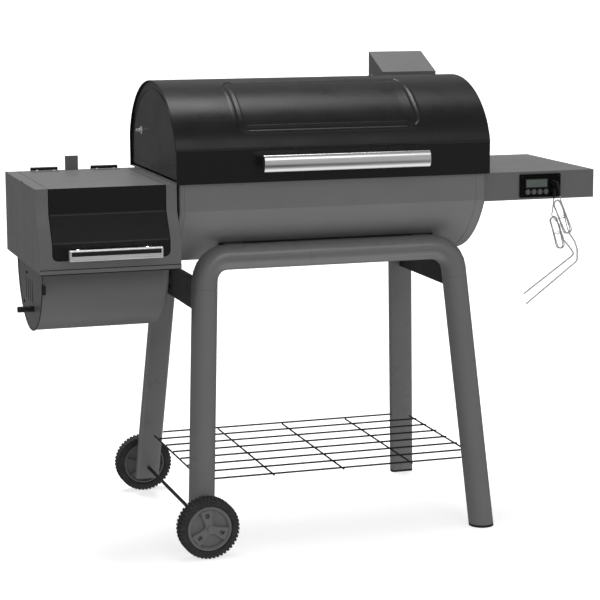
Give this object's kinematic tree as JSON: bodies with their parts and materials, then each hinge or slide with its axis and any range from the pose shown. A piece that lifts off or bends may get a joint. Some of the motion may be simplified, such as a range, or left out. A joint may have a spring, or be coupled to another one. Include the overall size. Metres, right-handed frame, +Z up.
{
  "type": "pellet smoker grill",
  "caption": "Barrel pellet smoker grill on a leaning tube stand with wheels, an arched lid, a pellet hopper with an air housing, a wire rack and a side shelf with a controller.",
  "frame": {"origin": "on the floor, under the middle of the whole width and depth, leaving out the food probes", "axes": "+X from the hopper to the side shelf, +Y from the front to the back, +Z up"},
  "size_m": [1.497, 0.732, 1.201],
  "materials": {
    "grey_powder_coat": "dark grey powder coat with a fine texture, satin",
    "black_satin_paint": "black heat-resistant paint, satin",
    "black_metal": "black painted steel",
    "stainless_steel": "brushed stainless steel",
    "polished_handle": "bright stainless steel handle",
    "galvanised_steel": "galvanised sheet steel",
    "enamelled_grate": "black enamelled cooking grate",
    "black_plastic": "moulded black plastic",
    "controller_face": "black controller face, satin",
    "button_rubber": "grey rubber push buttons",
    "hub_plastic": "moulded grey plastic",
    "tyre_rubber": "black moulded rubber with a block tread",
    "braided_cable": "stainless steel braid"
  },
  "bodies": {
    "stand_and_barrel": {"body_shell": "grey_powder_coat", "body_end_left": "grey_powder_coat", "body_end_right": "grey_powder_coat", "hopper_shell": "grey_powder_coat", "air_housing": "grey_powder_coat", "air_housing_cap": "grey_powder_coat", "side_shelf": "grey_powder_coat", "front_top_tube": "grey_powder_coat", "rear_top_tube": "grey_powder_coat", "front_leg_left": "grey_powder_coat", "front_leg_right": "grey_powder_coat", "rear_leg_left": "grey_powder_coat", "rear_leg_right": "grey_powder_coat", "lid_hinge_left": "black_metal", "lid_hinge_right": "black_metal", "hopper_hinge_left": "black_metal", "hopper_hinge_right": "black_metal", "side_brace_left": "black_metal", "side_brace_right": "black_metal", "wire_rack": "black_metal", "axle_rod": "black_metal", "probe_rod_1": "stainless_steel", "probe_rod_2": "stainless_steel", "igniter_rod": "stainless_steel", "drip_tray": "galvanised_steel", "heat_baffle": "galvanised_steel", "auger_tube": "galvanised_steel", "auger_motor": "galvanised_steel", "hopper_bin": "galvanised_steel", "cooking_grate": "enamelled_grate", "burn_pot": "enamelled_grate", "fan_motor": "black_plastic", "front_foot_cap": "black_plastic", "rear_foot_cap": "black_plastic", "probe_plug_1": "black_plastic", "probe_plug_2": "black_plastic", "controller_panel": "controller_face", "probe_lead_1": "braided_cable", "probe_lead_2": "braided_cable", "probe_hank_1": "braided_cable", "probe_hank_2": "braided_cable"},
    "lid": {"lid_shell": "black_satin_paint", "lid_end_left": "black_satin_paint", "lid_end_right": "black_satin_paint", "lid_handle": "polished_handle", "smoke_hood": "grey_powder_coat"},
    "hopper_lid": {"hopper_lid_top": "grey_powder_coat", "hopper_lid_front": "black_satin_paint", "hopper_lid_handle": "polished_handle"},
    "front_wheel": {"front_tyre": "tyre_rubber", "front_hub": "hub_plastic"},
    "rear_wheel": {"rear_tyre": "tyre_rubber", "rear_hub": "hub_plastic"},
    "air_shutter": {"air_shutter": "black_plastic"},
    "auger": {"auger_screw": "stainless_steel"},
    "fan": {"fan_impeller": "galvanised_steel"},
    "button_1": {"controller_button_1": "button_rubber"},
    "button_2": {"controller_button_2": "button_rubber"},
    "button_3": {"controller_button_3": "button_rubber"},
    "button_4": {"controller_button_4": "button_rubber"}
  },
  "joints": [
    {"name": "lid_hinge", "type": "hinge", "parent": "stand_and_barrel", "child": "lid", "pos_m": [0.0345, 0.263, 0.915], "axis": [-1, 0, 0], "range_deg": [0, 75]},
    {"name": "hopper_lid_hinge", "type": "hinge", "parent": "stand_and_barrel", "child": "hopper_lid", "pos_m": [-0.5475, 0.172, 0.918], "axis": [-1, 0, 0], "range_deg": [0, 86]},
    {"name": "front_wheel_spin", "type": "hinge", "parent": "stand_and_barrel", "child": "front_wheel", "pos_m": [-0.3355, -0.344, 0.076], "axis": [0, 1, 0], "continuous": true},
    {"name": "rear_wheel_spin", "type": "hinge", "parent": "stand_and_barrel", "child": "rear_wheel", "pos_m": [-0.3355, 0.344, 0.076], "axis": [0, 1, 0], "continuous": true},
    {"name": "air_shutter_slide", "type": "slide", "parent": "stand_and_barrel", "child": "air_shutter", "axis": [0, 1, 0], "range_m": [0, 0.014]},
    {"name": "auger_turn", "type": "hinge", "parent": "stand_and_barrel", "child": "auger", "pos_m": [-0.3305, -0.02, 0.752], "axis": [1, 0, 0], "continuous": true},
    {"name": "fan_spin", "type": "hinge", "parent": "stand_and_barrel", "child": "fan", "pos_m": [-0.5905, -0.075, 0.625], "axis": [1, 0, 0], "continuous": true},
    {"name": "button_1_press", "type": "slide", "parent": "stand_and_barrel", "child": "button_1", "axis": [0, 1, 0], "range_m": [0, 0.0015], "stiffness_N_per_m": 400},
    {"name": "button_2_press", "type": "slide", "parent": "stand_and_barrel", "child": "button_2", "axis": [0, 1, 0], "range_m": [0, 0.0015], "stiffness_N_per_m": 400},
    {"name": "button_3_press", "type": "slide", "parent": "stand_and_barrel", "child": "button_3", "axis": [0, 1, 0], "range_m": [0, 0.0015], "stiffness_N_per_m": 400},
    {"name": "button_4_press", "type": "slide", "parent": "stand_and_barrel", "child": "button_4", "axis": [0, 1, 0], "range_m": [0, 0.0015], "stiffness_N_per_m": 400}
  ]
}
